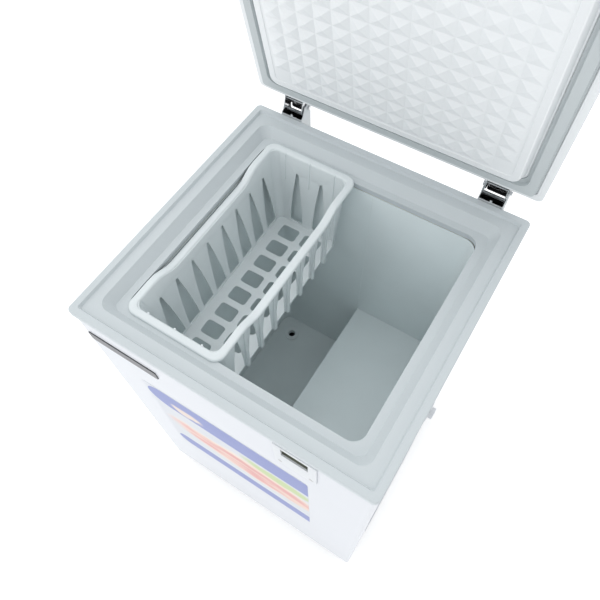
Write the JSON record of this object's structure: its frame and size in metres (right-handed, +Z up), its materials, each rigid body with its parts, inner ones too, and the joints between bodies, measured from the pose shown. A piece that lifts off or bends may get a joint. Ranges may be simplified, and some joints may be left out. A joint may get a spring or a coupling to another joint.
{
  "type": "chest freezer",
  "caption": "Compact white chest freezer with its lid standing open on sprung hinges, a slotted hanging basket inside and a stepped liner.",
  "frame": {"origin": "on the floor under the middle of the cabinet", "axes": "+X to the right seen from the front, +Y towards the back and the hinges, +Z up"},
  "size_m": [0.5696, 0.6126, 1.479],
  "materials": {
    "white_sheet": "gloss",
    "plated_sheet": "satin",
    "foam": "matte",
    "liner_sheet": "satin",
    "collar_plastic": "satin",
    "lid_plastic": "satin",
    "basket_plastic": "satin",
    "light_plastic": "satin",
    "black_plastic": "matte",
    "black_rubber": "matte",
    "seal_rubber": "matte",
    "black_enamel": "gloss",
    "hinge_enamel": "satin",
    "copper": "satin",
    "chrome": "polished",
    "screw_steel": "satin",
    "badge_metal": "satin",
    "decal_film": "gloss"
  },
  "bodies": {
    "cabinet": {"back_panel": "plated_sheet", "base_pan": "plated_sheet", "bay_lining": "plated_sheet", "blank_badge": "badge_metal", "capillary_tube": "copper", "compressor_bolts": "screw_steel", "compressor_bushes": "black_rubber", "compressor_foot_plate": "plated_sheet", "compressor_shell": "black_enamel", "condenser_tube": "copper", "discharge_tube": "copper", "drain_cap": "light_plastic", "drain_flange": "light_plastic", "drain_tube": "black_plastic", "evaporator_tube": "copper", "filter_dryer": "copper", "foot_nuts": "screw_steel", "front_decal": "decal_film", "hinge_body_screws": "screw_steel", "hinge_housing_left": "hinge_enamel", "hinge_housing_right": "hinge_enamel", "hinge_pin_left": "chrome", "hinge_pin_right": "chrome", "hinge_springs_left": "screw_steel", "hinge_springs_right": "screw_steel", "inner_liner": "liner_sheet", "insulation_foam": "foam", "liner_seam_strip": "liner_sheet", "outer_wrapper": "white_sheet", "power_gland": "black_plastic", "rear_bay_cover": "plated_sheet", "roller_axles": "screw_steel", "roller_brackets": "plated_sheet", "side_vent_grille": "light_plastic", "start_relay_cover": "black_plastic", "strike_cup": "black_plastic", "strike_plate": "light_plastic", "strike_screws": "screw_steel", "suction_tube": "copper", "thermostat_body": "black_plastic", "thermostat_scale_plate": "light_plastic", "top_collar": "collar_plastic"},
    "lid": {"lid_outer_shell": "white_sheet", "lid_foam": "foam", "lid_inner_lining": "lid_plastic", "lid_gasket": "seal_rubber", "lid_handle": "light_plastic", "hinge_lid_screws": "screw_steel", "hinge_leaf_left": "chrome", "hinge_leaf_right": "chrome"},
    "basket": {"storage_basket": "basket_plastic"},
    "thermostat_knob": {"thermostat_knob": "light_plastic"},
    "lock_barrel": {"lock_barrel": "chrome"},
    "lock_bolt": {"lock_bolt": "screw_steel"},
    "plunger_left": {"hinge_plunger_left": "screw_steel"},
    "plunger_right": {"hinge_plunger_right": "screw_steel"},
    "foot_left": {"levelling_foot_left": "black_plastic"},
    "foot_right": {"levelling_foot_right": "black_plastic"},
    "roller_left": {"rear_roller_left": "black_plastic"},
    "roller_right": {"rear_roller_right": "black_plastic"}
  },
  "joints": [
    {"name": "lid_hinge", "type": "hinge", "parent": "cabinet", "child": "lid", "pos_m": [0, 0.297, 0.872], "axis": [-1, 0, 0], "range_deg": [-80, 0]},
    {"name": "basket_lift", "type": "slide", "parent": "cabinet", "child": "basket", "axis": [0, 0, 1], "range_m": [0, 0.3]},
    {"name": "thermostat_turn", "type": "hinge", "parent": "cabinet", "child": "thermostat_knob", "pos_m": [0.28, 0.11, 0.275], "axis": [1, 0, 0], "range_deg": [-270, 0]},
    {"name": "lock_turn", "type": "hinge", "parent": "lid", "child": "lock_barrel", "pos_m": [0.147, 0.12882, 1.44571], "axis": [0, -0.1736, 0.9848], "range_deg": [0, 90]},
    {"name": "lock_bolt_slide", "type": "slide", "parent": "lid", "child": "lock_bolt", "axis": [0, 0.1736, -0.9848], "range_m": [0, 0.0141]},
    {"name": "hinge_spring_travel_left", "type": "slide", "parent": "cabinet", "child": "plunger_left", "axis": [0, 0, 1], "range_m": [-0.0121, 0], "deforming": ["hinge_springs_left"]},
    {"name": "hinge_spring_travel_right", "type": "slide", "parent": "cabinet", "child": "plunger_right", "axis": [0, 0, 1], "range_m": [-0.0121, 0], "deforming": ["hinge_springs_right"]},
    {"name": "foot_turn_left", "type": "hinge", "parent": "cabinet", "child": "foot_left", "pos_m": [-0.225, -0.215, 0.02], "axis": [0, 0, 1], "continuous": true},
    {"name": "roller_spin_left", "type": "hinge", "parent": "cabinet", "child": "roller_left", "pos_m": [-0.225, 0.215, 0.016], "axis": [1, 0, 0], "continuous": true},
    {"name": "foot_turn_right", "type": "hinge", "parent": "cabinet", "child": "foot_right", "pos_m": [0.225, -0.215, 0.02], "axis": [0, 0, 1], "continuous": true},
    {"name": "roller_spin_right", "type": "hinge", "parent": "cabinet", "child": "roller_right", "pos_m": [0.225, 0.215, 0.016], "axis": [1, 0, 0], "continuous": true}
  ],
  "couplings": [
    {"joint": "lock_bolt_slide", "follows": "lock_turn", "m_per_rad": 0.0089127},
    {"joint": "hinge_spring_travel_left", "follows": "lid_hinge", "m_per_rad": 0.0085944},
    {"joint": "hinge_spring_travel_right", "follows": "lid_hinge", "m_per_rad": 0.0085944}
  ]
}
